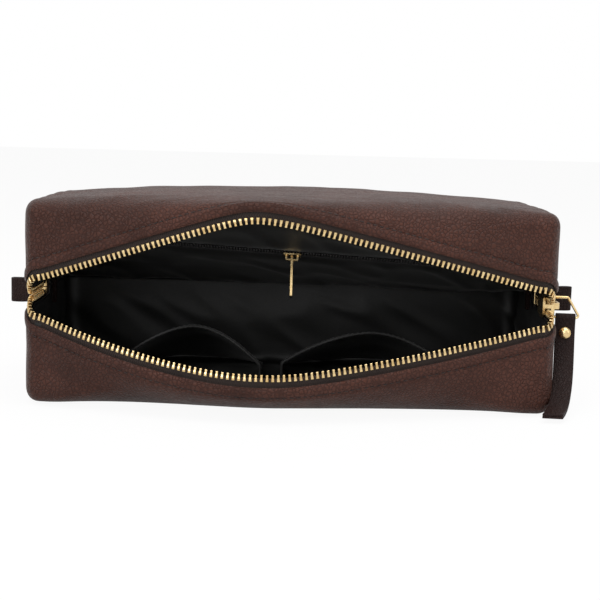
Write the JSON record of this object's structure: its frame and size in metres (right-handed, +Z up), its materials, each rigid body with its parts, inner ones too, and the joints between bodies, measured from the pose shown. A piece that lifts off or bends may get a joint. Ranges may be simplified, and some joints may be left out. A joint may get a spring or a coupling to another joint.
{
  "type": "toiletry bag",
  "caption": "Open box-shaped leather toiletry bag with a metal zip round its mouth, a wire ring with a riveted leather pull, end tabs, and a lining with a zip pocket and slip pockets.",
  "frame": {"origin": "centre of the long wall that the bag lies on, at the table", "axes": "+X along the bag to the end with the slider when it is open, -Y out of the mouth, +Z up"},
  "size_m": [0.296, 0.135, 0.105],
  "materials": {
    "leather": "dark brown pebbled leather with a soft sheen",
    "strap_leather": "dark brown leather, folded, with painted edges",
    "lining": "black satin lining cloth",
    "zip_tape": "dark brown herringbone zip tape",
    "pocket_tape": "black woven zip tape",
    "seam_tape": "black seam tape",
    "coil": "black nylon coil",
    "brass": "polished warm brass"
  },
  "bodies": {
    "bag": {"upper_leather": "leather", "lower_leather": "leather", "upper_top_stop": "brass", "lower_top_stop": "brass", "bottom_stop": "brass", "left_end_tab": "strap_leather", "right_end_tab": "strap_leather", "upper_lining": "lining", "lower_lining": "lining", "pocket_zip_tapes": "pocket_tape", "pocket_coil_front": "coil", "pocket_coil_back": "coil", "pocket_zip_stops": "brass", "pocket_bag": "lining", "left_slip_pocket": "lining", "right_slip_pocket": "lining", "back_seam_binding": "seam_tape", "left_seam_binding": "seam_tape", "right_seam_binding": "seam_tape"},
    "upper_side": {"upper_mouth_flap": "leather", "upper_zip_tape": "zip_tape", "upper_zip_teeth": "brass"},
    "lower_side": {"lower_mouth_flap": "leather", "lower_zip_tape": "zip_tape", "lower_zip_teeth": "brass"},
    "main_slider": {"main_slider": "brass"},
    "pull_ring": {"pull_ring": "brass"},
    "pull_strap": {"pull_strap": "strap_leather", "strap_rivet": "brass"},
    "pocket_slider": {"pocket_slider": "brass"},
    "pocket_pull": {"pocket_pull": "brass"}
  },
  "joints": [
    {"name": "upper_side_close", "type": "slide", "parent": "bag", "child": "upper_side", "axis": [0, 0.6697, -0.7426], "range_m": [0, 0.06495], "deforming": ["upper_mouth_flap", "upper_zip_tape", "upper_zip_teeth"]},
    {"name": "lower_side_close", "type": "slide", "parent": "bag", "child": "lower_side", "axis": [0, 0.7765, 0.6301], "range_m": [0, 0.05622], "deforming": ["lower_mouth_flap", "lower_zip_tape", "lower_zip_teeth"]},
    {"name": "main_slider_slide", "type": "slide", "parent": "bag", "child": "main_slider", "axis": [0, -1, 0], "range_m": [0, 0.02]},
    {"name": "ring_swing", "type": "hinge", "parent": "main_slider", "child": "pull_ring", "pos_m": [0.132, -0.027, 0.052], "axis": [0, 0, 1], "range_deg": [-2, 55]},
    {"name": "strap_swing", "type": "hinge", "parent": "pull_ring", "child": "pull_strap", "pos_m": [0.13813, -0.02764, 0.046], "axis": [0.9945, -0.1045, 0], "range_deg": [-100, 3]},
    {"name": "pocket_slider_slide", "type": "slide", "parent": "bag", "child": "pocket_slider", "axis": [0.9986, 0, -0.0523], "range_m": [-0.06, 0.06]},
    {"name": "pocket_pull_swing", "type": "hinge", "parent": "pocket_slider", "child": "pocket_pull", "pos_m": [-0.00013, -0.03684, 0.07349], "axis": [0, 0.9483, -0.3173], "range_deg": [-75, 75]}
  ],
  "couplings": [
    {"joint": "lower_side_close", "follows": "upper_side_close", "ratio": 0.86243}
  ]
}
